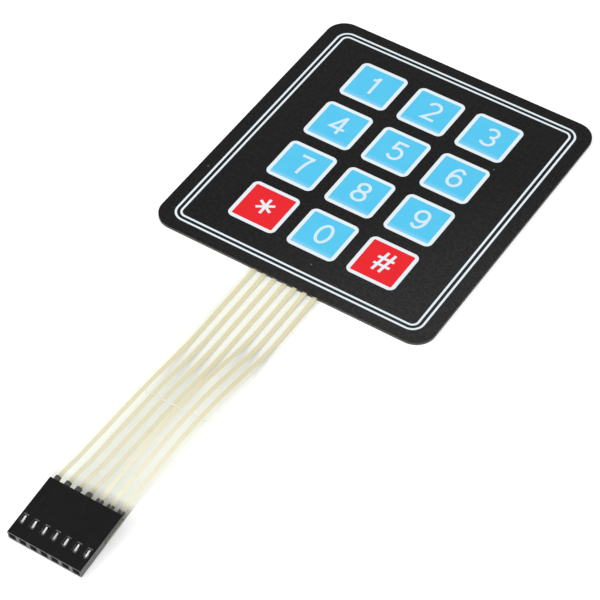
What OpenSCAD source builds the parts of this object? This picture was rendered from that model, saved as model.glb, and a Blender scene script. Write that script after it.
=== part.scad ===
// Twelve-key membrane keypad: a printed overlay on two circuit films, whose two-film tail
// ends in a one-row socket housing with crimped contacts.
// Millimetres, +Z up. The origin is the middle of the pad's rear face, and the tail runs to -Y.

/* [Pad] */
// Width of the pad
pad_w = 69; // [66:0.5:90]
// Height of the pad
pad_h = 76.5; // [74:0.5:110]
// Corner radius of the pad
pad_r = 4.7; // [1:0.1:8]

/* [Keys] */
// Distance between the middles of two keys
key_pitch = 15.1; // [13.5:0.1:15.6]
// Size of a key over its white border
key_size = 12.05; // [11:0.05:12.8]
// Width of a key's white border
key_border = 0.9; // [0.4:0.1:1.6]
// Corner radius of a key's white border
key_r = 1.5; // [0.6:0.1:2]
// Corner radius of a key's colour field
field_r = 0.3; // [0.1:0.1:1]
// Distance of the keys' middle from the pad's middle, to the right
keys_x = -0.3; // [-0.5:0.05:0.5]
// Height of the keys' middle above the pad's middle
keys_y = 0.35; // [-0.5:0.05:1]

/* [Frame lines] */
// Distance from the pad's sides to the outer line
frame_side = 3.2; // [1.5:0.1:5]
// Distance from the pad's top and bottom to the outer line
frame_end = 2.8; // [1.5:0.1:5]
// Width of each white line
line_w = 0.5; // [0.3:0.05:0.7]
// Black gap between the two lines
line_gap = 0.72; // [0.3:0.02:0.8]
// Outer corner radius of the outer line
frame_r = 3; // [2.2:0.1:4]

/* [Layers] */
// Thickness of the release liner
liner_t = 0.1; // [0.05:0.01:0.2]
// Thickness of the rear adhesive
rear_adhesive_t = 0.1; // [0.05:0.01:0.2]
// Thickness of each circuit film
film_t = 0.125; // [0.1:0.005:0.15]
// Thickness of the spacer
spacer_t = 0.2; // [0.1:0.01:0.3]
// Thickness of the overlay's adhesive
overlay_adhesive_t = 0.05; // [0.03:0.01:0.1]
// Thickness of the overlay
overlay_t = 0.2; // [0.125:0.005:0.3]
// Depth of the coloured print in the overlay
print_t = 0.04; // [0.02:0.01:0.08]
// Depth of the printed conductors in a circuit film
ink_t = 0.03; // [0.02:0.01:0.05]

/* [Circuit] */
// Diameter of the contact disc under a key
disc_d = 8; // [5:0.1:9]
// Distance from the disc's edge to the edge of the spacer's hole
hole_margin = 1; // [0.4:0.1:1.8]
// Width of the air channels between the spacer's holes
vent_w = 1.2; // [0.6:0.1:2]
// Width of a printed conductor
trace_w = 1; // [0.6:0.05:1.05]
// Distance from the pad's left edge to the outermost row conductor
bus_inset = 5; // [3:0.1:5.5]
// Distance between two row conductors beside the keys
bus_pitch = 1.8; // [1.4:0.1:2]
// Distance from the pad's lower edge to the lowest cross run
cross_inset = 3; // [2.5:0.1:3.5]
// Distance between two cross runs
cross_pitch = 1.8; // [1.4:0.1:2]

/* [Tail] */
// Width of film that stands out of the housing on each side
tail_over = 0.4; // [0.1:0.05:2]
// Length from the pad's edge to the front of the housing
tail_l = 84.7; // [70:0.1:200]
// Distance of the tail's middle from the pad's middle, to the right
tail_x = 0.3; // [-5:0.1:5]
// Length over which the films come down to the table beside the pad
drop_l = 6; // [4:0.5:9]
// Height to which the lower film has risen two thirds of the way along
lower_rise = 2; // [1.6:0.05:2.4]
// Height of the upper film's crest above the pad's film
upper_rise = 4.15; // [3.8:0.05:6]

/* [Housing] */
// Distance between two contacts
contact_pitch = 2.54; // [2.2:0.01:3]
// Thickness of the housing's wall beside the outer contacts
side_wall = 0.33; // [0.25:0.01:1]
// Length of the housing
housing_l = 14.3; // [13.5:0.1:18]
// Height of the housing
housing_t = 2.5; // [2.45:0.05:3.5]
// Chamfer along the housing's long edges
housing_chamfer = 0.18; // [0.05:0.01:0.2]
// Angle by which the housing leans on its front edge
housing_tilt = 8; // [5:0.5:10]
// Depth of the slot for the films
slot_l = 6.2; // [5.8:0.1:6.6]
// Clearance of the films in their slot, above and below
slot_gap = 0.1; // [0.05:0.01:0.2]
// Thickness of the front wall
front_wall = 1.2; // [0.8:0.05:1.25]
// Side of the hole for a pin in the front wall
pin_hole = 0.9; // [0.75:0.05:1.1]
// Side of the lead-in at the mouth of a pin hole
lead_in = 1.7; // [1.3:0.05:1.9]
// Depth of the lead-in
lead_in_l = 0.55; // [0.3:0.05:0.7]
// Clearance around a contact in its chamber
chamber_gap = 0.07; // [0.04:0.01:0.1]
// Width of a window in the top
window_w = 1.15; // [0.9:0.05:1.4]
// Length of a window in the top
window_l = 2.2; // [2:0.05:2.4]
// Distance from the front to the middle of the windows
window_y = 3.9; // [3.7:0.05:4.2]
// Chamfer at the rear edge of a window
window_chamfer = 0.2; // [0.05:0.01:0.25]

/* [Contacts] */
// Thickness of a contact's sheet
sheet_t = 0.18; // [0.12:0.01:0.2]
// Outside width and height of a contact's receptacle
box_w = 1.45; // [1.4:0.01:1.5]
// Length of a contact's receptacle
box_l = 5.5; // [5:0.1:6]
// Width of the locking lance
lance_w = 0.4; // [0.3:0.05:0.7]
// Height of the lance's end over the receptacle
lance_h = 0.32; // [0.2:0.01:0.4]
// Width of the crimp
crimp_w = 1.4; // [1.36:0.01:1.45]
// Length of the crimp behind the housing
crimp_out = 1.2; // [0.5:0.05:1.5]
// Length of a barb along the tail
barb_l = 0.8; // [0.5:0.05:0.9]
// Reach of a barb's folded end over the film
barb_fold = 0.45; // [0.3:0.05:0.6]

/* [Hidden] */
$fn = 64;

columns = 3;
rows = 4;
contacts = columns + rows;

// Clearances
fit_gap = 0.02;
film_end_gap = 0.2;
film_gap = 0.04;
box_gap = 0.2;
cut_over = 1;

// Heights of the layers, from the rear face up
lower_film_z = liner_t + rear_adhesive_t;
spacer_z = lower_film_z + film_t;
upper_film_z = spacer_z + spacer_t;
overlay_adhesive_z = upper_film_z + film_t;
overlay_z = overlay_adhesive_z + overlay_adhesive_t;
top_z = overlay_z + overlay_t;

// Where the tail leaves the pad and where the housing's front lies
pad_edge_y = -pad_h / 2;
front_y = pad_edge_y - tail_l;
tail_root = 2;

// Contact's crimp, square to the films: clear of their faces, and the chamber around it
crimp_z = film_t + fit_gap;
chamber_w = max(box_w, crimp_w) + 2 * chamber_gap;
chamber_h = max(box_w, 2 * crimp_z + crimp_w) + 2 * chamber_gap;

// Widths that follow from the contacts
housing_w = (contacts - 1) * contact_pitch + chamber_w + 2 * side_wall;
tail_w = housing_w + 2 * tail_over;

// Middle of the housing's height, where the two films meet
mid_z = housing_t / 2;
film_end_y = housing_l - slot_l + film_end_gap;
film_straight_y = housing_l + crimp_out + film_end_gap;

// Contact's receptacle, and the lance, which clears the window's ends over an opening that runs on behind it
box_y = front_wall + box_gap;
box_end_y = box_y + box_l;
window_end_y = window_y + window_l / 2;
lance_gap = 0.2;
lance_y = window_y - window_l / 2 + lance_gap;
lance_l = window_l - 2 * lance_gap;
lance_run_on = 0.4;

// Contact's crimp: its lap under the receptacle, its barbs and its arched end
neck_lap = 0.8;
barb_t = 0.15;
barb_step = 2.3;
barb_in = 1.2;
barb_first_y = film_end_y + barb_in;
crown_in = 0.6;
crown_l = crimp_out + crown_in;

// Tail shape: share of the free span, and share of the rise reached there
lower_lift = 0.28;
lower_shape = [[0.56, 0.72], [0.70, 1], [0.90, 1.28]];
upper_lift = 0.21;
upper_shape = [[0.40, 0.42], [0.51, 0.77], [0.69, 1], [0.85, 0.88]];
curve_steps = 8;

// Middle of a key, by column from the left and row from the top
function key_x(c) = keys_x + (c - (columns - 1) / 2) * key_pitch;
function key_y(r) = keys_y + ((rows - 1) / 2 - r) * key_pitch;

// The bottom corners are red
function is_red(c, r) = r == rows - 1 && c != 1;

// Contacts are numbered from the left: the rows first, then the columns
function contact_x(k) = (k - (contacts - 1) / 2) * contact_pitch;

// A point of the housing's own frame (from its front lower edge) as a distance out from the pad and a height
function housed(y, z) =
    [pad_edge_y - front_y - y * cos(housing_tilt) + z * sin(housing_tilt),
     y * sin(housing_tilt) + z * cos(housing_tilt)];

// Point and slope on a cubic between two knots, each given as [distance, height, slope]
function cubic(a, b, s) =
    let (span = b[0] - a[0])
    [a[0] + span * s,
     (2 * s^3 - 3 * s^2 + 1) * a[1] + (s^3 - 2 * s^2 + s) * span * a[2]
         + (3 * s^2 - 2 * s^3) * b[1] + (s^3 - s^2) * span * b[2],
     (6 * s^2 - 6 * s) * (a[1] - b[1]) / span
         + (3 * s^2 - 4 * s + 1) * a[2] + (3 * s^2 - 2 * s) * b[2]];

// Knots of a film that comes down to rest_z, lifts off and enters the housing at height z of its frame
function film_knots(sheet_z, rest_z, lift, shape, rise, z) =
    let (last = housed(film_straight_y, z))
    let (p = concat([[0, sheet_z], [drop_l, rest_z], [lift * last[0], rest_z]],
                    [for (k = shape) [k[0] * last[0], sheet_z + k[1] * rise]],
                    [last]))
    let (n = len(p) - 1)
    [for (i = [0:n])
        let (slope = i < 3 ? 0
                   : i == n ? -tan(housing_tilt)
                   : (p[i + 1][1] - p[i - 1][1]) / (p[i + 1][0] - p[i - 1][0]))
        [p[i][0], p[i][1], slope]];

// Underside of a film as [distance, height, slope], from inside the pad to its end in the housing
function film_line(knots, z) =
    let (n = len(knots) - 1)
    let (last = housed(film_end_y, z))
    concat([[-tail_root, knots[0][1], 0]],
           [for (i = [0:n - 1])
               let (steps = knots[i][1] == knots[i + 1][1] ? 1 : curve_steps)
               for (j = [0:steps - 1]) cubic(knots[i], knots[i + 1], j / steps)],
           [knots[n], [last[0], last[1], knots[n][2]]]);

lower_z = mid_z - film_t;
lower_line = film_line(film_knots(lower_film_z, 0, lower_lift, lower_shape, lower_rise, lower_z), lower_z);
upper_rest_z = film_t + film_gap;
upper_line = film_line(film_knots(upper_film_z, upper_rest_z, upper_lift, upper_shape, upper_rise, mid_z),
                       mid_z);

// A point square to a film's underside, h above it, as [y, z]
function above(p, h) =
    [pad_edge_y - p[0] + h * p[2] / sqrt(1 + p[2]^2), p[1] + h / sqrt(1 + p[2]^2)];

module rounded(w, h, r) {
    square([w - 2 * r, h], center = true);
    square([w, h - 2 * r], center = true);
    for (x = [-1, 1], y = [-1, 1])
        translate([x * (w / 2 - r), y * (h / 2 - r)])
            circle(r);
}

module pad_outline() {
    rounded(pad_w, pad_h, pad_r);
}

module layer(z, t) {
    translate([0, 0, z])
        linear_extrude(t)
            children();
}

module at_key(c, r) {
    translate([key_x(c), key_y(r)])
        children();
}

module key_outline() {
    rounded(key_size, key_size, key_r);
}

module key_field() {
    rounded(key_size - 2 * key_border, key_size - 2 * key_border, field_r);
}

module key_fields(red) {
    for (c = [0:columns - 1], r = [0:rows - 1])
        if (is_red(c, r) == red)
            at_key(c, r)
                key_field();
}

// One closed white line, at a distance inside the outer edge of the frame
module frame_line(inset, r) {
    w = pad_w - 2 * (frame_side + inset);
    h = pad_h - 2 * (frame_end + inset);
    difference() {
        rounded(w, h, r);
        rounded(w - 2 * line_w, h - 2 * line_w, r - line_w);
    }
}

module frame_lines() {
    step = line_w + line_gap;
    frame_line(0, frame_r);
    frame_line(step, frame_r - step);
}

module graphic_overlay() {
    color([0.14, 0.14, 0.14])
        difference() {
            layer(overlay_z, overlay_t)
                pad_outline();
            layer(top_z - print_t, cut_over)
                frame_lines();
            for (c = [0:columns - 1], r = [0:rows - 1])
                layer(top_z - print_t, cut_over)
                    at_key(c, r)
                        key_outline();
        }
}

module white_print() {
    color([0.94, 0.96, 0.98]) {
        layer(top_z - print_t, print_t)
            frame_lines();
        for (c = [0:columns - 1], r = [0:rows - 1])
            layer(top_z - print_t, print_t)
                at_key(c, r)
                    difference() {
                        key_outline();
                        key_field();
                    }
    }
}

module blue_print() {
    color([0.34, 0.79, 0.97])
        layer(top_z - print_t, print_t)
            key_fields(false);
}

module red_print() {
    color([0.93, 0.18, 0.22])
        layer(top_z - print_t, print_t)
            key_fields(true);
}

module overlay_adhesive() {
    color([0.9, 0.9, 0.86])
        layer(overlay_adhesive_z, overlay_adhesive_t)
            pad_outline();
}

// A straight printed run between two points on one level or one upright
module run(a, b) {
    translate((a + b) / 2)
        square([abs(a[0] - b[0]) + trace_w, abs(a[1] - b[1]) + trace_w], center = true);
}

// The last stretch of a conductor on the pad, down to where its strip of the tail starts
module tail_run(x, y) {
    run([x, y], [x, pad_edge_y + tail_root + trace_w / 2]);
}

function cross_y(i) = pad_edge_y + cross_inset + i * cross_pitch;

// A row joins its discs, runs down beside the keys and crosses over to its place in the tail
module row_plan(r) {
    bus_x = -pad_w / 2 + bus_inset + r * bus_pitch;
    out_x = tail_x + contact_x(r);
    for (c = [0:columns - 1])
        at_key(c, r)
            circle(d = disc_d);
    run([bus_x, key_y(r)], [key_x(columns - 1), key_y(r)]);
    run([bus_x, key_y(r)], [bus_x, cross_y(r)]);
    run([bus_x, cross_y(r)], [out_x, cross_y(r)]);
    tail_run(out_x, cross_y(r));
}

// A column joins its discs, runs down and crosses over to its place in the tail
module column_plan(c) {
    out_x = tail_x + contact_x(rows + c);
    for (r = [0:rows - 1])
        at_key(c, r)
            circle(d = disc_d);
    run([key_x(c), key_y(0)], [key_x(c), cross_y(c)]);
    run([key_x(c), cross_y(c)], [out_x, cross_y(c)]);
    tail_run(out_x, cross_y(c));
}

// A strip of the tail that follows a film's underside, from lo to hi above it
module tail_strip(line, lo, hi, x, w) {
    under = [for (p = line) above(p, lo)];
    over = [for (i = [len(line) - 1:-1:0]) above(line[i], hi)];
    translate([x - w / 2, 0, 0])
        rotate([90, 0, 90])
            linear_extrude(w)
                polygon(concat(under, over));
}

module in_housing() {
    translate([tail_x, front_y, 0])
        rotate([housing_tilt, 0, 0])
            children();
}

// Places along a contact where a pair of barbs goes through the films
function barb_ys(over) =
    concat([barb_first_y, barb_first_y + barb_step],
           over ? [] : [housing_l + crimp_out - barb_l]);

// The slits that the barbs pierce in the films
module barb_slits() {
    for (k = [0:contacts - 1], y = barb_ys(k < rows), side = [-1, 1])
        in_housing()
            translate([contact_x(k) + side * (crimp_w - barb_t) / 2, y + barb_l / 2, mid_z])
                cube([barb_t + 2 * fit_gap, barb_l + 2 * fit_gap, housing_t], center = true);
}

module circuit_film(z, line) {
    layer(z, film_t)
        pad_outline();
    tail_strip(line, 0, film_t, tail_x, tail_w);
}

module upper_circuit_film() {
    color([0.93, 0.95, 0.88, 0.5])
        difference() {
            circuit_film(upper_film_z, upper_line);
            for (c = [0:columns - 1]) {
                layer(upper_film_z - ink_t, 2 * ink_t)
                    column_plan(c);
                tail_strip(upper_line, -ink_t, ink_t, tail_x + contact_x(rows + c), trace_w);
            }
            barb_slits();
        }
}

module column_conductors() {
    color([0.87, 0.82, 0.66])
        for (c = [0:columns - 1]) {
            layer(upper_film_z, ink_t)
                column_plan(c);
            tail_strip(upper_line, 0, ink_t, tail_x + contact_x(rows + c), trace_w);
        }
}

module spacer() {
    color([0.88, 0.9, 0.85])
        layer(spacer_z, spacer_t)
            difference() {
                pad_outline();
                for (c = [0:columns - 1]) {
                    for (r = [0:rows - 1])
                        at_key(c, r)
                            circle(d = disc_d + 2 * hole_margin);
                    translate([key_x(c) - vent_w / 2, key_y(rows - 1)])
                        square([vent_w, key_y(0) - key_y(rows - 1)]);
                }
            }
}

module row_conductors() {
    color([0.85, 0.8, 0.64])
        for (r = [0:rows - 1]) {
            layer(lower_film_z + film_t - ink_t, ink_t)
                row_plan(r);
            tail_strip(lower_line, film_t - ink_t, film_t, tail_x + contact_x(r), trace_w);
        }
}

module lower_circuit_film() {
    color([0.93, 0.95, 0.88, 0.5])
        difference() {
            circuit_film(lower_film_z, lower_line);
            for (r = [0:rows - 1]) {
                layer(lower_film_z + film_t - ink_t, 2 * ink_t)
                    row_plan(r);
                tail_strip(lower_line, film_t - ink_t, film_t + ink_t, tail_x + contact_x(r), trace_w);
            }
            barb_slits();
        }
}

module rear_adhesive() {
    color([0.9, 0.9, 0.86])
        layer(liner_t, rear_adhesive_t)
            pad_outline();
}

module release_liner() {
    color([0.95, 0.94, 0.9])
        layer(0, liner_t)
            pad_outline();
}

module housing_body() {
    w = housing_w / 2;
    c = housing_chamfer;
    translate([0, housing_l, 0])
        rotate([90, 0, 0])
            linear_extrude(housing_l)
                polygon([[-w + c, 0], [w - c, 0], [w, c], [w, housing_t - c],
                         [w - c, housing_t], [-w + c, housing_t], [-w, housing_t - c], [-w, c]]);
}

// A block centred across the housing, between two places along it
module bored(w, h, y0, y1) {
    translate([-w / 2, y0, mid_z - h / 2])
        cube([w, y1 - y0, h]);
}

// A four-sided funnel at the mouth of a pin hole, made as two crossed wedges
module funnel() {
    outer = lead_in / 2;
    inner = pin_hole / 2;
    wedge = [[-outer, 0], [outer, 0], [inner, lead_in_l], [-inner, lead_in_l]];
    translate([0, 0, mid_z])
        intersection() {
            linear_extrude(lead_in, center = true)
                polygon(wedge);
            rotate([0, 90, 0])
                linear_extrude(lead_in, center = true)
                    polygon(wedge);
        }
}

// A window down to a chamber, cut as one profile with a chamfer at its rear edge
module window() {
    front = window_y - window_l / 2;
    top = housing_t + cut_over;
    translate([-window_w / 2, 0, 0])
        rotate([90, 0, 90])
            linear_extrude(window_w)
                polygon([[front, mid_z], [window_end_y, mid_z], [window_end_y, housing_t - window_chamfer],
                         [window_end_y + window_chamfer + cut_over, top], [front, top]]);
}

module connector_housing() {
    color([0.1, 0.1, 0.1])
        in_housing()
            difference() {
                housing_body();
                for (k = [0:contacts - 1])
                    translate([contact_x(k), 0, 0]) {
                        funnel();
                        bored(pin_hole, pin_hole, lead_in_l / 2, front_wall + cut_over / 2);
                        bored(chamber_w, chamber_h, front_wall, housing_l + cut_over);
                        window();
                    }
                bored(housing_w + 2 * cut_over, 2 * (film_t + slot_gap),
                      housing_l - slot_l, housing_l + cut_over);
            }
}

// The folded box that takes a pin, with the lance bent out of its top to lock in the housing's window
module receptacle() {
    top = mid_z + box_w / 2;
    inside = box_w - 2 * sheet_t;
    lance_end = lance_y + lance_l;
    difference() {
        bored(box_w, box_w, box_y, box_end_y);
        bored(inside, inside, box_y - cut_over, box_end_y + cut_over);
        translate([-inside / 2, lance_y + sheet_t, mid_z])
            cube([inside, window_end_y + lance_run_on - lance_y - sheet_t, box_w]);
    }
    translate([-lance_w / 2, 0, 0])
        rotate([90, 0, 90])
            linear_extrude(lance_w)
                polygon([[lance_y, top], [lance_y, top - sheet_t], [lance_y + sheet_t, top - sheet_t],
                         [lance_end, top + lance_h - sheet_t], [lance_end, top + lance_h]]);
}

// The plate on one side of the films, with barbs that go through them and fold over
module crimp(over) {
    plate_end = housing_l + (over ? crimp_out - crown_l + sheet_t : crimp_out);
    translate([-crimp_w / 2, box_end_y - neck_lap, crimp_z])
        cube([crimp_w, plate_end - box_end_y + neck_lap, sheet_t]);
    for (y = barb_ys(over), side = [-1, 1]) {
        translate([side * (crimp_w - barb_t) / 2 - barb_t / 2, y, -crimp_z - barb_t])
            cube([barb_t, barb_l, 2 * crimp_z + barb_t + sheet_t]);
        translate([side * (crimp_w - barb_fold) / 2 - barb_fold / 2, y, -crimp_z - barb_t])
            cube([barb_fold, barb_l, barb_t]);
    }
}

// The arched end of a row contact's crimp, which stands up behind the housing
module crown() {
    translate([0, housing_l + crimp_out, crimp_z])
        rotate([90, 0, 0])
            linear_extrude(crown_l)
                intersection() {
                    difference() {
                        circle(d = crimp_w);
                        circle(d = crimp_w - 2 * sheet_t);
                    }
                    translate([-crimp_w, 0])
                        square([2 * crimp_w, crimp_w]);
                }
}

// Row contacts are crimped from above the films, column contacts from below
module contact(k) {
    over = k < rows;
    color([0.75, 0.76, 0.77])
        in_housing()
            translate([contact_x(k), 0, 0]) {
                receptacle();
                translate([0, 0, mid_z])
                    mirror([0, 0, over ? 0 : 1]) {
                        crimp(over);
                        if (over)
                            crown();
                    }
            }
}

graphic_overlay();
white_print();
blue_print();
red_print();
overlay_adhesive();
upper_circuit_film();
column_conductors();
spacer();
row_conductors();
lower_circuit_film();
rear_adhesive();
release_liner();
connector_housing();
for (k = [0:contacts - 1])
    contact(k);
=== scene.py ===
"""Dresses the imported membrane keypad: printed overlay, key legends, clear two-film tail and socket."""
import bmesh
import bpy
import math
from mathutils import Matrix, Vector


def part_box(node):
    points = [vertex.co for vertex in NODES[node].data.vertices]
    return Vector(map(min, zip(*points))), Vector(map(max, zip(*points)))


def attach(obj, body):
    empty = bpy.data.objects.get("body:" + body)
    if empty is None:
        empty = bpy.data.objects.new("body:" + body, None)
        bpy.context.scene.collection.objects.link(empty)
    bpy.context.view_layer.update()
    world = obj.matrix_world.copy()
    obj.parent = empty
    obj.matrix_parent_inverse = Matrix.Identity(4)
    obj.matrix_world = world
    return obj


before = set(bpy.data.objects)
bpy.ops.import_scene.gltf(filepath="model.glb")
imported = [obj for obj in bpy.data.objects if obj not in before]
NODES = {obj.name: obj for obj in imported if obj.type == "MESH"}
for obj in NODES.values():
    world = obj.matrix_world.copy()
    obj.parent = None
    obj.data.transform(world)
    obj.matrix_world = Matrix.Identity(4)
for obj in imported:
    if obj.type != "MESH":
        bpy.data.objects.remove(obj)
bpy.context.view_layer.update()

BODY = "root"
MM = 0.001

# Camera, as the photograph was taken: the point on the table it aims at and where it stands from there
AIM = Vector((5.356, -40.107, 0)) * MM
AZIMUTH = math.radians(32.26)
ELEVATION = math.radians(48.22)
DISTANCE = 532.67 * MM
ROLL = math.radians(0.72)
LENS_MM = 151.93
SENSOR_MM = 36
CLIP_START = 0.01

# Light: a large lamp on the left, an even sky and a floor that glows to the eye
LAMP_PLACE = Vector((-0.75, -0.77, 1.03))
LAMP_SIZE = 0.8
LAMP_POWER = 6.75
SKY_STRENGTH = 0.80
FLOOR_SIZE = 8.0
FLOOR_DROP = 0.02 * MM
FLOOR_GREY = 0.80
FLOOR_GLOW = 0.47

# Keys, whose places come from the boxes of the printed fields
COLUMNS = 3
ROWS = 4
LEGEND_ORDER = "123456789*0#"

# Legends: they stand out of the print by their rise and reach as far into it
STROKE = 0.71 * MM
SIGN_STROKE = 0.66 * MM
LEGEND_SHIFT = Vector((0.17, 0.27)) * MM
LEGEND_RISE = 0.02 * MM
ARC_STEP = math.radians(7)
SAME_POINT = 0.01 * MM

# Small changes to the CAD meshes
WELD_REACH = 0.001 * MM
CONDUCTOR_SWELL = 0.003 * MM
FLAT_ANGLE = math.radians(0.5)
SHARP_ANGLE = math.radians(40)
BEVEL_SEGMENTS = 2
HOUSING_BEVEL = 0.05 * MM
CONTACT_BEVEL = 0.025 * MM

# Along the tail: its start at the pad, the upper film's crease, its end, the socket's rear, the lances' feet
TAIL_START_Y = -38.3 * MM
CREASE_Y = -81.1 * MM
TAIL_END_Y = -108.5 * MM
SOCKET_REAR_Y = -109.1 * MM
LANCE_FOOT_Y = -119.9 * MM

# Colours below are linear shares of red, green and blue, and a pair of them is the two ends of a blend.
# Most of a noise's values lie in this range.
NOISE_RANGE = (0.3, 0.7)

# Overlay, with its speckle, mottle and dust flecks, and a painted sheen that lightens it towards one corner
OVERLAY_BLACK = ((0.0020, 0.0018, 0.0018), (0.0140, 0.0130, 0.0130))
# The second pair is the black under the painted sheen, also mixed by the dust
OVERLAY_SHEENED = ((0.0140, 0.0136, 0.0136), (0.0360, 0.0352, 0.0347))
SHEEN_LENGTH = 70 * MM
SPECKLE_SIZE = 0.25 * MM
SPECKLE_BAND = (0.35, 0.68)
SPECKLE_SHARE = 0.6
MOTTLE_SIZE = 0.8 * MM
MOTTLE_BAND = (0.35, 0.65)
MOTTLE_SHARE = 0.4
FLECK_GREY = (0.13, 0.13, 0.135)
FLECKS_APART = 24 * MM
FLECK_RADIUS = 0.28 * MM
FLECK_CORE = 0.4

# Print, and the matt face that it shares with the overlay
FACE_SPECULAR = 0.13
FACE_GRAIN = 0.16 * MM
FACE_GRAIN_DEPTH = 0.003 * MM
FACE_SHEEN = 0.5 * MM
FACE_ROUGHNESS = (0.50, 0.58)
BORDER_WHITE = ((0.78, 0.88, 0.94), (0.84, 0.92, 0.96))
DIGIT_WHITE = ((0.64, 0.83, 0.94), (0.72, 0.87, 0.95))
WHITE_CLOUD = 1.8 * MM
FIELD_BLUE = ((0.085, 0.578, 0.888), (0.110, 0.608, 0.908))
FIELD_RED = ((0.82, 0.012, 0.020), (0.87, 0.022, 0.031))
FIELD_CLOUD = 2.5 * MM
PALE_BLUE = (0.42, 0.73, 0.93)
PALE_SHARE = 0.45
PALE_REACH = 0.14

# Sheets under the overlay, whose cut edges show, with the glue and the spacer painted dark grey as painted
# shade on those edges
SHEET_SPECULAR = 0.35
SHEET_ROUGHNESS = (0.45, 0.7)
SHEET_GRAIN_DEPTH = 0.004 * MM
GLUE_SHADE_GREY = ((0.11, 0.105, 0.095), (0.19, 0.185, 0.165))
GLUE_GRAIN = 0.5 * MM
SPACER_SHADE_GREY = ((0.09, 0.09, 0.085), (0.15, 0.15, 0.14))
SPACER_GRAIN = 1.0 * MM
LINER_PAPER = ((0.78, 0.77, 0.71), (0.88, 0.87, 0.82))
LINER_GRAIN = 0.3 * MM

# Films: gloss at grazing angles, tint and haze, which change from the near to the far part of the tail
FILM_SPECULAR = 0.5
FILM_ROUGHNESS = 0.4
FILM_GLOSS = 0.006
FILM_GLOSS_ROUGHNESS = 0.15
GRAZING_POWER = 5.0
SCATTERED_ONWARD = 0.5
FILM_WAVES = 2.2 * MM
FILM_WAVE_DEPTH = 0.01 * MM
FILM_CHANGE_Y = (TAIL_START_Y - 20 * MM, CREASE_Y - 5 * MM)
NEAR_TINT = (0.967, 0.971, 0.954)
# Past the crest the tint is painted darker on the left than on the right: painted shade across the tail
FAR_TINTS_SHADED = ((0.970, 0.976, 0.957), (0.988, 0.992, 0.975))
FAR_SHADE_X = (-8 * MM, 5 * MM)
NEAR_HAZE = 0.004
UPPER_HAZE = 0.035
LOWER_HAZE = 0.02
HAZE_CLOUD = 5 * MM
HAZE_SPREAD = (0.7, 1.3)
FILM_MILK = (0.96, 0.97, 0.91)

# Films: a painted highlight along the crease, painted shade beside the socket, and the part held inside the
# socket
CREASE_HIGHLIGHT = 0.75
CREASE_REACH = (0.05 * MM, 0.40 * MM)
CREASE_WAVES = 4 * MM
CREASE_WAVER = 0.25 * MM
CREASE_X = (-9 * MM, 2.5 * MM)
CREASE_SHARES = (0.15, 1.0)
# Painted shade: the upper film's tint greys towards this close to the socket
SOCKET_SHADE_TINT = (0.52, 0.51, 0.49)
SOCKET_SHADE_LENGTH = 4 * MM
SOCKET_SHADE_X = (-8 * MM, 9 * MM)
SOCKET_SHADE_SHARES = (0.25, 1.0)
HELD_MILK = (0.62, 0.60, 0.52)
HELD_HAZE = 0.8
HELD_EDGE = 0.4 * MM

# Conductors, near and far from the pad
INK_SPECULAR = 0.35
INK_ROUGHNESS = (0.40, 0.6)
INK_GRAIN = 0.35 * MM
INK_GRAIN_DEPTH = 0.004 * MM
INK_CHANGE_Y = (TAIL_START_Y - 25 * MM, TAIL_END_Y)
ROW_INK = ((0.94, 0.845, 0.58), (0.95, 0.89, 0.71))
COLUMN_INK = ((0.86, 0.77, 0.525), (0.96, 0.925, 0.745))
DARK_GRAIN = (0.62, 0.53, 0.32)
DARK_GRAIN_BAND = (0.45, 0.85)
DARK_GRAIN_SHARE = 0.35
# Painted shade: the conductors turn to this grey beside the socket
INK_SOCKET_SHADE = (0.20, 0.19, 0.17)
INK_SOCKET_SHADE_Y = (SOCKET_REAR_Y + 0.2 * MM, SOCKET_REAR_Y + 1.8 * MM)

# Housing: squareness tells how squarely a face has to look along X or Y to be painted paler, as painted light
# on the upright faces
HOUSING_SPECULAR = 0.15
HOUSING_ROUGHNESS = (0.30, 0.46)
HOUSING_PLASTIC = ((0.0030, 0.0030, 0.0032), (0.0052, 0.0050, 0.0052))
# Painted light: the paler grey of the upright faces
HOUSING_PAINTED_LIGHT = ((0.095, 0.095, 0.097), (0.22, 0.22, 0.226))
HOUSING_FLOW = 2.4 * MM
HOUSING_LIT_GRAIN = 0.4 * MM
HOUSING_GRAIN = 0.3 * MM
HOUSING_GRAIN_DEPTH = 0.006 * MM
SIDE_SQUARENESS = (0.85, 0.95)
END_SQUARENESS = (0.72, 0.79)
SCUFF_GREY = (0.022, 0.022, 0.023)
SCUFF_SIZE = 0.5 * MM
SCUFF_STRETCH = (1, 0.3, 1)
SCUFF_BAND = (0.60, 0.78)
SCUFF_SHARE = 0.5

# Contacts
TIN = ((0.50, 0.50, 0.49), (0.74, 0.74, 0.72))
# Painted shade: the tin darkens to this grey in front of the lances and behind the housing
TIN_SHADE = (0.10, 0.10, 0.104)
TIN_ROUGHNESS = (0.24, 0.40)
TIN_GRAIN = 0.25 * MM
TIN_STRETCH = (1, 0.2, 1)
TIN_GRAIN_DEPTH = 0.003 * MM
TIN_SHADE_EDGE = 0.2 * MM


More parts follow.
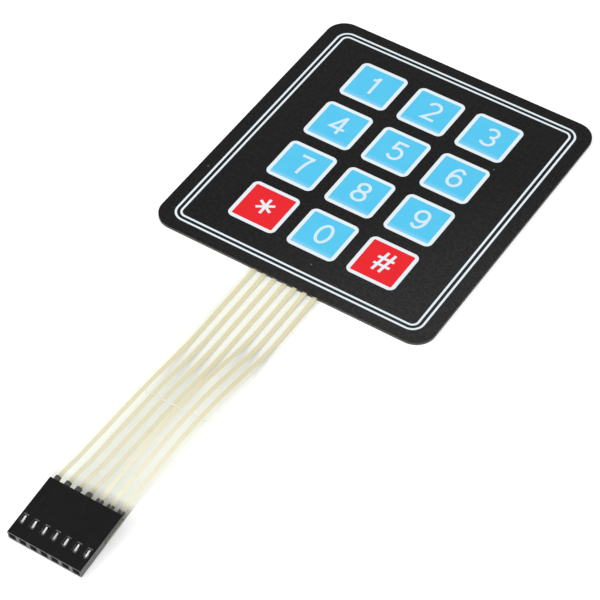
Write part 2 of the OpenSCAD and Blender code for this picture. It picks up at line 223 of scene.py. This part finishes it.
class Finish:
    """A procedural material: a Principled shader and the textures that feed it, in the object's own space."""

    def __init__(self, name, settings):
        self.material = bpy.data.materials.new(name)
        self.material.use_nodes = True
        tree = self.material.node_tree
        self.nodes = tree.nodes
        self.links = tree.links
        self.shader = self.nodes["Principled BSDF"]
        space = self.nodes.new("ShaderNodeTexCoord")
        self.place = space.outputs["Object"]
        self.facing = space.outputs["Normal"]
        for socket, value in settings.items():
            self.shader.inputs[socket].default_value = value

    def put(self, value, socket):
        """Links an output to a socket, or sets the socket to a number or to an opaque colour."""
        if isinstance(value, bpy.types.NodeSocket):
            self.links.new(value, socket)
        elif isinstance(value, tuple):
            socket.default_value = (*value, 1.0)
        else:
            socket.default_value = value

    def feed(self, **outputs):
        """Links outputs to the shader's sockets, named with _ for a space."""
        for name, output in outputs.items():
            self.links.new(output, self.shader.inputs[name.replace("_", " ")])

    def axis(self, name, vector=None):
        """One coordinate of the object's own space, or of another vector."""
        split = self.nodes.new("ShaderNodeSeparateXYZ")
        self.links.new(vector or self.place, split.inputs[0])
        return split.outputs[name]

    def squareness(self, name):
        """How squarely a face looks along an axis, either way: 0 to 1."""
        return self.maths("ABSOLUTE", self.axis(name, self.facing))

    def noise(self, size, detail=2.0, stretch=(1, 1, 1)):
        """Soft noise from 0 to 1 with grains of about that size."""
        mapping = self.nodes.new("ShaderNodeMapping")
        mapping.inputs["Scale"].default_value = stretch
        self.links.new(self.place, mapping.inputs["Vector"])
        noise = self.nodes.new("ShaderNodeTexNoise")
        noise.inputs["Scale"].default_value = 1 / size
        noise.inputs["Detail"].default_value = detail
        self.links.new(mapping.outputs["Vector"], noise.inputs["Vector"])
        return noise.outputs["Fac"]

    def flecks(self, apart, radius):
        """Round flecks, seen from above, about that far apart: 1 in the middle, 0 past the radius."""
        cells = self.nodes.new("ShaderNodeTexVoronoi")
        cells.voronoi_dimensions = "2D"
        cells.inputs["Scale"].default_value = 1 / apart
        self.links.new(self.place, cells.inputs["Vector"])
        return self.remap(cells.outputs["Distance"], FLECK_CORE * radius / apart, radius / apart, 1.0, 0.0)

    def maths(self, operation, first, second=0.0):
        """A sum, product or the like of outputs or numbers."""
        node = self.nodes.new("ShaderNodeMath")
        node.operation = operation
        self.put(first, node.inputs[0])
        self.put(second, node.inputs[1])
        return node.outputs[0]

    def remap(self, value, start, end, low=0.0, high=1.0):
        """Takes start to low and end to high, smoothly, and holds them beyond."""
        node = self.nodes.new("ShaderNodeMapRange")
        node.interpolation_type = "SMOOTHSTEP"
        for name, number in (("From Min", start), ("From Max", end), ("To Min", low), ("To Max", high)):
            node.inputs[name].default_value = number
        self.links.new(value, node.inputs["Value"])
        return node.outputs["Result"]

    def vary(self, noise, ends):
        """A number that follows a noise from one end to the other."""
        return self.remap(noise, *NOISE_RANGE, *ends)

    def blend(self, share, first, second):
        """A colour between two colours."""
        node = self.nodes.new("ShaderNodeMix")
        node.data_type = "RGBA"
        colours = [s for s in node.inputs if s.type == "RGBA"]
        self.put(share, node.inputs["Factor"])
        self.put(first, colours[0])
        self.put(second, colours[1])
        return next(s for s in node.outputs if s.type == "RGBA")

    def relief(self, height, depth):
        """Bump of that depth, fed to the shader's normal."""
        bump = self.nodes.new("ShaderNodeBump")
        bump.inputs["Distance"].default_value = depth
        self.links.new(height, bump.inputs["Height"])
        self.links.new(bump.outputs["Normal"], self.shader.inputs["Normal"])

    def clear(self, tint, haze, milk):
        """Lets light through, tinted, with a share of haze, which scatters both ways, under a thin gloss."""
        through = self.nodes.new("ShaderNodeBsdfTransparent")
        self.put(tint, through.inputs["Color"])
        onward = self.nodes.new("ShaderNodeBsdfTranslucent")
        self.put(milk, onward.inputs["Color"])
        self.feed(Base_Color=milk)
        gloss = self.nodes.new("ShaderNodeBsdfGlossy")
        gloss.inputs["Roughness"].default_value = FILM_GLOSS_ROUGHNESS
        grazing = self.nodes.new("ShaderNodeLayerWeight").outputs["Facing"]
        sheen = self.maths("ADD", self.maths("POWER", grazing, GRAZING_POWER), FILM_GLOSS)
        body = self.mix(haze, through, self.mix(SCATTERED_ONWARD, self.shader, onward))
        coated = self.mix(sheen, body, gloss)
        self.links.new(coated.outputs[0], self.nodes["Material Output"].inputs["Surface"])

    def mix(self, share, first, second):
        """A shader between two shaders."""
        node = self.nodes.new("ShaderNodeMixShader")
        self.put(share, node.inputs[0])
        self.links.new(first.outputs[0], node.inputs[1])
        self.links.new(second.outputs[0], node.inputs[2])
        return node


def face_grain(finish):
    """The fine grain of the overlay's matt face, which runs over the print too."""
    finish.relief(finish.noise(FACE_GRAIN, detail=3.0), FACE_GRAIN_DEPTH)
    finish.feed(Roughness=finish.vary(finish.noise(FACE_SHEEN), FACE_ROUGHNESS))


def overlay_black():
    """Matt black with fine dust and a few flecks, and a painted sheen that lightens it towards the lower
    right corner.
    """
    finish = Finish("overlay_black", {"Specular IOR Level": FACE_SPECULAR})
    speckle = finish.remap(finish.noise(SPECKLE_SIZE, detail=3.0), *SPECKLE_BAND, 0.0, SPECKLE_SHARE)
    mottle = finish.remap(finish.noise(MOTTLE_SIZE, detail=4.0), *MOTTLE_BAND, 0.0, MOTTLE_SHARE)
    dust = finish.maths("ADD", speckle, mottle)
    black = finish.blend(dust, *OVERLAY_BLACK)
    grey = finish.blend(dust, *OVERLAY_SHEENED)
    # Painted sheen: the black turns to the lighter pair towards the lower right corner
    towards_corner = finish.maths("SUBTRACT", finish.axis("X"), finish.axis("Y"))
    painted_sheen = finish.remap(towards_corner, 0.0, SHEEN_LENGTH)
    ink = finish.blend(painted_sheen, black, grey)
    flecks = finish.flecks(FLECKS_APART, FLECK_RADIUS)
    finish.feed(Base_Color=finish.blend(flecks, ink, FLECK_GREY))
    face_grain(finish)
    return finish.material


def print_white(name, whites):
    """Slightly cloudy white print."""
    finish = Finish(name, {"Specular IOR Level": FACE_SPECULAR})
    finish.feed(Base_Color=finish.blend(finish.noise(WHITE_CLOUD, detail=3.0), *whites))
    face_grain(finish)
    return finish.material


def print_blue(field, pitch, bottom_y):
    """Blue fields that pale towards their lower edge."""
    finish = Finish("print_blue", {"Specular IOR Level": FACE_SPECULAR})
    above = finish.maths("SUBTRACT", finish.axis("Y"), bottom_y)
    in_key = finish.maths("FLOORED_MODULO", above, pitch)
    pale = finish.remap(in_key, 0.0, PALE_REACH * field, PALE_SHARE, 0.0)
    blue = finish.blend(finish.noise(FIELD_CLOUD, detail=3.0), *FIELD_BLUE)
    finish.feed(Base_Color=finish.blend(pale, blue, PALE_BLUE))
    face_grain(finish)
    return finish.material


def print_red():
    """Red fields."""
    finish = Finish("print_red", {"Specular IOR Level": FACE_SPECULAR})
    finish.feed(Base_Color=finish.blend(finish.noise(FIELD_CLOUD, detail=3.0), *FIELD_RED))
    face_grain(finish)
    return finish.material


def inner_sheet(name, colours, grain_size):
    """Adhesive, spacer or liner, as it shows along the pad's cut edges; the adhesive's and the spacer's greys
    are painted shade.
    """
    finish = Finish(name, {"Specular IOR Level": SHEET_SPECULAR})
    grain = finish.noise(grain_size, detail=4.0)
    finish.feed(
        Base_Color=finish.blend(grain, *colours),
        Roughness=finish.vary(grain, SHEET_ROUGHNESS),
    )
    finish.relief(grain, SHEET_GRAIN_DEPTH)
    return finish.material


def crease_highlight(finish, x, y):
    """A painted highlight along the crease: a thin wavering line of haze across the film, strongest on the
    right.
    """
    waver = finish.remap(finish.noise(CREASE_WAVES), 0.0, 1.0, -CREASE_WAVER, CREASE_WAVER)
    beyond = finish.maths("ADD", finish.maths("SUBTRACT", y, CREASE_Y), waver)
    line = finish.remap(finish.maths("ABSOLUTE", beyond), *CREASE_REACH, CREASE_HIGHLIGHT, 0.0)
    return finish.maths("MULTIPLY", line, finish.remap(x, *CREASE_X, *CREASE_SHARES))


def socket_shade_share(finish, x, y):
    """How much painted shade greys the film close to the socket, most on the right."""
    close = finish.remap(y, SOCKET_REAR_Y, SOCKET_REAR_Y + SOCKET_SHADE_LENGTH, 1.0, 0.0)
    return finish.maths("MULTIPLY", close, finish.remap(x, *SOCKET_SHADE_X, *SOCKET_SHADE_SHARES))


def clear_film(name, far_haze, upper):
    """Clear polyester with a cream cast, milky past its crest and nearly opaque where the socket holds it.
    Past the crest its tint is painted darker on the left as painted shade, and the upper film has a painted
    highlight along its crease and painted shade beside the socket.
    """
    finish = Finish(name, {"Specular IOR Level": FILM_SPECULAR, "Roughness": FILM_ROUGHNESS})
    x = finish.axis("X")
    y = finish.axis("Y")
    far = finish.remap(y, *FILM_CHANGE_Y)
    cloud = finish.vary(finish.noise(HAZE_CLOUD, detail=3.0), HAZE_SPREAD)
    haze = finish.maths("MULTIPLY", finish.remap(far, 0.0, 1.0, NEAR_HAZE, far_haze), cloud)
    # Painted shade: the far tint darkens towards the left
    shaded_far_tint = finish.blend(finish.remap(x, *FAR_SHADE_X), *FAR_TINTS_SHADED)
    tint = finish.blend(far, NEAR_TINT, shaded_far_tint)
    if upper:
        # Painted highlight: a line of haze along the crease
        haze = finish.maths("MAXIMUM", haze, crease_highlight(finish, x, y))
        # Painted shade: the tint greys close to the socket
        tint = finish.blend(socket_shade_share(finish, x, y), tint, SOCKET_SHADE_TINT)
    held = finish.remap(y, SOCKET_REAR_Y - HELD_EDGE, SOCKET_REAR_Y, HELD_HAZE, 0.0)
    finish.relief(finish.noise(FILM_WAVES), FILM_WAVE_DEPTH)
    finish.clear(
        tint=tint,
        haze=finish.maths("MAXIMUM", haze, held),
        milk=finish.blend(held, FILM_MILK, HELD_MILK),
    )
    return finish.material


def conductor_ink(name, inks):
    """Printed conductor, which pales from the pad to the socket and is darkened beside the crimps by painted
    shade.
    """
    finish = Finish(name, {"Specular IOR Level": INK_SPECULAR})
    y = finish.axis("Y")
    grain = finish.noise(INK_GRAIN, detail=3.0)
    ink = finish.blend(finish.remap(y, *INK_CHANGE_Y), *inks)
    grained = finish.blend(finish.remap(grain, *DARK_GRAIN_BAND, 0.0, DARK_GRAIN_SHARE), ink, DARK_GRAIN)
    # Painted shade: the ink darkens beside the socket
    ink_shade_share = finish.remap(y, *INK_SOCKET_SHADE_Y, 1.0, 0.0)
    finish.feed(
        Base_Color=finish.blend(ink_shade_share, grained, INK_SOCKET_SHADE),
        Roughness=finish.vary(grain, INK_ROUGHNESS),
    )
    finish.relief(grain, INK_GRAIN_DEPTH)
    return finish.material


def housing_black():
    """Moulded black plastic: satin above, and painted paler on the sides, the front and the windows' rims, as
    painted light.
    """
    finish = Finish("housing_black", {"Specular IOR Level": HOUSING_SPECULAR})
    flow = finish.noise(HOUSING_FLOW, detail=4.0)
    scratches = finish.noise(SCUFF_SIZE, detail=4.0, stretch=SCUFF_STRETCH)
    scuffs = finish.remap(scratches, *SCUFF_BAND, 0.0, SCUFF_SHARE)
    side = finish.remap(finish.squareness("X"), *SIDE_SQUARENESS)
    end = finish.remap(finish.squareness("Y"), *END_SQUARENESS)
    # Painted light: upright faces take the paler grey below, called matt
    upright = finish.maths("MAXIMUM", side, end)
    plastic = finish.blend(flow, *HOUSING_PLASTIC)
    worn = finish.blend(scuffs, plastic, SCUFF_GREY)
    matt = finish.blend(finish.noise(HOUSING_LIT_GRAIN, detail=3.0), *HOUSING_PAINTED_LIGHT)
    finish.feed(
        Base_Color=finish.blend(upright, worn, matt),
        Roughness=finish.vary(flow, HOUSING_ROUGHNESS),
    )
    finish.relief(finish.noise(HOUSING_GRAIN, detail=3.0), HOUSING_GRAIN_DEPTH)
    return finish.material


def contact_tin():
    """Tin plate, drawn along the contact, painted dark in front of the lance and behind the housing, as
    painted shade.
    """
    finish = Finish("contact_tin", {"Metallic": 1.0})
    drawn = finish.noise(TIN_GRAIN, detail=3.0, stretch=TIN_STRETCH)
    tin = finish.blend(drawn, *TIN)
    y = finish.axis("Y")
    # Painted shade: dark tin in the window's recess before the lance and on the crowns behind the housing
    behind = finish.remap(y, SOCKET_REAR_Y - TIN_SHADE_EDGE, SOCKET_REAR_Y)
    in_front = finish.remap(y, LANCE_FOOT_Y - TIN_SHADE_EDGE, LANCE_FOOT_Y + TIN_SHADE_EDGE, 1.0, 0.0)
    painted_shade = finish.maths("MAXIMUM", behind, in_front)
    finish.feed(
        Base_Color=finish.blend(painted_shade, tin, TIN_SHADE),
        Roughness=finish.vary(drawn, TIN_ROUGHNESS),
    )
    finish.relief(drawn, TIN_GRAIN_DEPTH)
    return finish.material


def floor_white():
    """Pale floor that is white to the eye and in reflections and keeps the object's shadow."""
    material = bpy.data.materials.new("floor_white")
    material.use_nodes = True
    nodes = material.node_tree.nodes
    links = material.node_tree.links
    nodes.clear()
    paint = nodes.new("ShaderNodeBsdfDiffuse")
    paint.inputs["Color"].default_value = (FLOOR_GREY, FLOOR_GREY, FLOOR_GREY, 1.0)
    path = nodes.new("ShaderNodeLightPath")
    seen = path.outputs["Is Camera Ray"]
    for ray in ("Is Glossy Ray", "Is Transmission Ray"):
        either = nodes.new("ShaderNodeMath")
        either.operation = "MAXIMUM"
        links.new(seen, either.inputs[0])
        links.new(path.outputs[ray], either.inputs[1])
        seen = either.outputs[0]
    level = nodes.new("ShaderNodeMath")
    level.operation = "MULTIPLY"
    level.inputs[1].default_value = FLOOR_GLOW
    links.new(seen, level.inputs[0])
    glow = nodes.new("ShaderNodeEmission")
    links.new(level.outputs[0], glow.inputs["Strength"])
    both = nodes.new("ShaderNodeAddShader")
    links.new(paint.outputs[0], both.inputs[0])
    links.new(glow.outputs[0], both.inputs[1])
    output = nodes.new("ShaderNodeOutputMaterial")
    links.new(both.outputs[0], output.inputs["Surface"])
    return material


def new_object(name, data):
    """An object in the scene with that mesh, lamp or camera."""
    made = bpy.data.objects.new(name, data)
    bpy.context.scene.collection.objects.link(made)
    return made


def dress(node, material):
    """Gives a CAD node its finish."""
    slots = NODES[node].data.materials
    slots.clear()
    slots.append(material)


def weld(node):
    """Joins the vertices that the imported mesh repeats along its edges, and gives the node's modifiers."""
    modifiers = NODES[node].modifiers
    modifiers.new("weld", "WELD").merge_threshold = WELD_REACH
    return modifiers


def swell(node, amount):
    """Lets a printed node stand a hair out of its film, so that no two faces share one place."""
    raised = weld(node).new("swell", "DISPLACE")
    raised.strength = amount
    raised.mid_level = 0


def soften(node, width):
    """Rounds a CAD node's sharp edges a little, as moulding and stamping leave them."""
    modifiers = weld(node)
    flat = modifiers.new("flat", "DECIMATE")
    flat.decimate_type = "DISSOLVE"
    flat.angle_limit = FLAT_ANGLE
    bevel = modifiers.new("bevel", "BEVEL")
    bevel.width = width
    bevel.segments = BEVEL_SEGMENTS
    bevel.limit_method = "ANGLE"
    bevel.angle_limit = SHARP_ANGLE
    bevel.harden_normals = True


def arc(centre, radii, start, end):
    """Points on an ellipse from one angle to another, in degrees."""
    first = math.radians(start)
    sweep = math.radians(end) - first
    steps = max(2, round(abs(sweep) / ARC_STEP))
    angles = [first + sweep * i / steps for i in range(steps + 1)]
    return [(centre[0] + radii[0] * math.cos(a), centre[1] + radii[1] * math.sin(a)) for a in angles]


def ring(centre, radii):
    """Points round a whole ellipse, the first one twice."""
    return arc(centre, radii, 0, 360)


def turned(strokes):
    """The same strokes, half a turn round."""
    return [[(-x, -y) for x, y in stroke] for stroke in strokes]


def glyphs():
    """Centre lines of the legends' strokes, in millimetres from the middle of a legend."""
    six = [arc((0.05, 0), (1.53, 2.64), 42, 200), ring((0.05, -1.02), (1.47, 1.62))]
    star = [[(-x, -y), (x, y)] for x, y in ((0, 2.35), (1.82, 1.12), (-1.82, 1.12))]
    bars = [[(-2.05, y), (1.95, y)] for y in (1.0, -0.98)]
    posts = [[(x - 0.43, -2.95), (x + 0.43, 2.95)] for x in (-0.9, 0.78)]
    return {
        "0": [ring((0, 0), (1.53, 2.64))],
        "1": [arc((-1.32, 2.9), (1.3, 1.25), -90, -12), [(-0.03, 2.86), (-0.03, -2.92)]],
        "2": [arc((0.05, 1.2), (1.45, 1.44), 165, -30) + [(-1.2, -2.62), (1.72, -2.62)]],
        "3": [arc((-0.05, 1.33), (1.35, 1.31), 155, -95), arc((-0.05, -1.3), (1.5, 1.34), 95, -155)],
        "4": [[(0.5, 2.62), (-1.72, -1.15), (1.85, -1.15)], [(0.58, 2.92), (0.58, -2.92)]],
        "5": [[(1.5, 2.62), (-0.98, 2.62), (-1.28, 0.1)], arc((-0.08, -0.92), (1.5, 1.72), 142, -155)],
        "6": six,
        "7": [[(-1.6, 2.62), (1.55, 2.62)], arc((2.32, -2.92), (2.36, 6.12), 115, 180)],
        "8": [ring((0, 1.4), (1.28, 1.24)), ring((0, -1.27), (1.5, 1.37))],
        "9": turned(six),
        "*": star,
        "#": bars + posts,
    }


def borders(points, width, closed):
    """Left and right borders of a stroke, mitred at its corners."""
    count = len(points)
    left = []
    right = []
    for i, point in enumerate(points):
        before = point - points[i - 1] if i or closed else points[1] - point
        after = points[(i + 1) % count] - point if i < count - 1 or closed else before
        sides = [Vector((-d.y, d.x)).normalized() for d in (before, after)]
        mitre = sides[0] + sides[1]
        mitre *= width / mitre.length_squared
        left.append(point + mitre)
        right.append(point - mitre)
    return left, right


def ribbon(name, stroke, width, low, high):
    """A closed flat ribbon along a stroke."""
    points = [Vector(p) for p in stroke]
    closed = (points[0] - points[-1]).length < SAME_POINT
    if closed:
        points.pop()
    left, right = borders(points, width, closed)
    corners = [(left, high), (right, high), (right, low), (left, low)]
    made = bmesh.new()
    loops = [[made.verts.new((p.x, p.y, z)) for p in edge] for edge, z in corners]
    count = len(points)
    for i in range(count if closed else count - 1):
        k = (i + 1) % count
        for a, b in zip(loops, loops[1:] + loops[:1]):
            made.faces.new((a[i], b[i], b[k], a[k]))
    if not closed:
        made.faces.new([loop[0] for loop in reversed(loops)])
        made.faces.new([loop[-1] for loop in loops])
    bmesh.ops.recalc_face_normals(made, faces=made.faces)
    mesh = bpy.data.meshes.new(name)
    made.to_mesh(mesh)
    made.free()
    return mesh


def union(name, meshes):
    """One closed piece from closed meshes that overlap."""
    whole = new_object(name, meshes[0])
    others = [new_object(mesh.name, mesh) for mesh in meshes[1:]]
    for other in others:
        step = whole.modifiers.new("union", "BOOLEAN")
        step.operation = "UNION"
        step.solver = "EXACT"
        step.object = other
    merged = whole.evaluated_get(bpy.context.evaluated_depsgraph_get())
    whole.data = bpy.data.meshes.new_from_object(merged)
    whole.modifiers.clear()
    for other in others:
        bpy.data.objects.remove(other)
    return whole


def add_legend(character, strokes, place, top, material):
    """One legend, printed on its key."""
    names = {"*": "star", "#": "hash"}
    name = "legend_" + names.get(character, character)
    width = SIGN_STROKE if character in names else STROKE
    ribbons = []
    for stroke in strokes:
        moved = [(place.x + x * MM, place.y + y * MM) for x, y in stroke]
        ribbons.append(ribbon(name, moved, width, top - LEGEND_RISE, top + LEGEND_RISE))
    legend = union(name, ribbons)
    legend.data.materials.append(material)
    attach(legend, BODY)


class KeyGrid:
    """Where the printed fields lie, from the boxes of their CAD nodes."""

    def __init__(self):
        blue_low, blue_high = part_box("blue_print")
        red_low, red_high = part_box("red_print")
        self.field = red_high.y - red_low.y
        self.bottom_y = blue_low.y
        self.pitch = (blue_high.y - blue_low.y - self.field) / (ROWS - 1)
        self.first = Vector((blue_low.x + self.field / 2, blue_high.y - self.field / 2))
        self.top = blue_high.z

    def place(self, index):
        """The middle of a key, counted along the rows from the top."""
        row, column = divmod(index, COLUMNS)
        return self.first + Vector((column, -row)) * self.pitch


def add_legends(grid, white):
    """Digits in white that lets some blue through, signs in the white of the borders."""
    thin_white = print_white("thin_white", DIGIT_WHITE)
    strokes = glyphs()
    for index, character in enumerate(LEGEND_ORDER):
        place = grid.place(index) + LEGEND_SHIFT
        ink = thin_white if character.isdigit() else white
        add_legend(character, strokes[character], place, grid.top, ink)


def dress_pad(grid, white):
    """The overlay, its print and the sheets under it."""
    dress("graphic_overlay", overlay_black())
    dress("white_print", white)
    dress("blue_print", print_blue(grid.field, grid.pitch, grid.bottom_y))
    dress("red_print", print_red())
    # Painted shade: the glue and the spacer are dark grey along the pad's cut edges
    glue = inner_sheet("adhesive", GLUE_SHADE_GREY, GLUE_GRAIN)
    dress("overlay_adhesive", glue)
    dress("rear_adhesive", glue)
    dress("spacer", inner_sheet("spacer_film", SPACER_SHADE_GREY, SPACER_GRAIN))
    dress("release_liner", inner_sheet("liner_paper", LINER_PAPER, LINER_GRAIN))


def dress_tail():
    """The circuit films and their conductors."""
    dress("upper_circuit_film", clear_film("clear_film_upper", UPPER_HAZE, True))
    dress("lower_circuit_film", clear_film("clear_film_lower", LOWER_HAZE, False))
    dress("row_conductors", conductor_ink("row_ink", ROW_INK))
    dress("column_conductors", conductor_ink("column_ink", COLUMN_INK))
    swell("row_conductors", CONDUCTOR_SWELL)
    swell("column_conductors", CONDUCTOR_SWELL)


def dress_socket():
    """The housing and one contact for each row and column."""
    dress("connector_housing", housing_black())
    soften("connector_housing", HOUSING_BEVEL)
    tin = contact_tin()
    for number in range(1, ROWS + COLUMNS + 1):
        dress(f"contact_{number}", tin)
        soften(f"contact_{number}", CONTACT_BEVEL)


def add_floor():
    """A floor just under the part."""
    made = bmesh.new()
    bmesh.ops.create_grid(made, x_segments=1, y_segments=1, size=FLOOR_SIZE / 2)
    mesh = bpy.data.meshes.new("floor")
    made.to_mesh(mesh)
    made.free()
    mesh.materials.append(floor_white())
    floor = new_object("floor", mesh)
    floor.location.z = -FLOOR_DROP


def add_lights():
    """A white sky, and a lamp turned to the point that the camera aims at."""
    world = bpy.data.worlds.new("studio")
    world.use_nodes = True
    sky = world.node_tree.nodes["Background"]
    sky.inputs["Color"].default_value = (1, 1, 1, 1)
    sky.inputs["Strength"].default_value = SKY_STRENGTH
    bpy.context.scene.world = world
    lamp = bpy.data.lights.new("key", "AREA")
    lamp.size = LAMP_SIZE
    lamp.energy = LAMP_POWER
    key = new_object("key", lamp)
    key.location = LAMP_PLACE
    key.rotation_euler = (LAMP_PLACE - AIM).to_track_quat("Z", "Y").to_euler()


def add_camera():
    """The photograph's camera, turned to its aim and rolled about its own axis."""
    lens = bpy.data.cameras.new("camera")
    lens.lens = LENS_MM
    lens.sensor_width = SENSOR_MM
    lens.clip_start = CLIP_START
    camera = new_object("camera", lens)
    right = Vector((math.cos(AZIMUTH), math.sin(AZIMUTH), 0))
    level = Vector((math.sin(AZIMUTH), -math.cos(AZIMUTH), 0))
    away = level * math.cos(ELEVATION) + Vector((0, 0, math.sin(ELEVATION)))
    turn = Matrix((right, away.cross(right), away)).transposed() @ Matrix.Rotation(ROLL, 3, "Z")
    camera.matrix_world = Matrix.Translation(AIM + away * DISTANCE) @ turn.to_4x4()
    bpy.context.scene.camera = camera


def main():
    """Dresses every node, prints the legends and sets the stage."""
    bpy.context.scene.view_settings.view_transform = "Standard"
    grid = KeyGrid()
    white = print_white("print_white", BORDER_WHITE)
    dress_pad(grid, white)
    add_legends(grid, white)
    dress_tail()
    dress_socket()
    add_floor()
    add_lights()
    add_camera()


main()
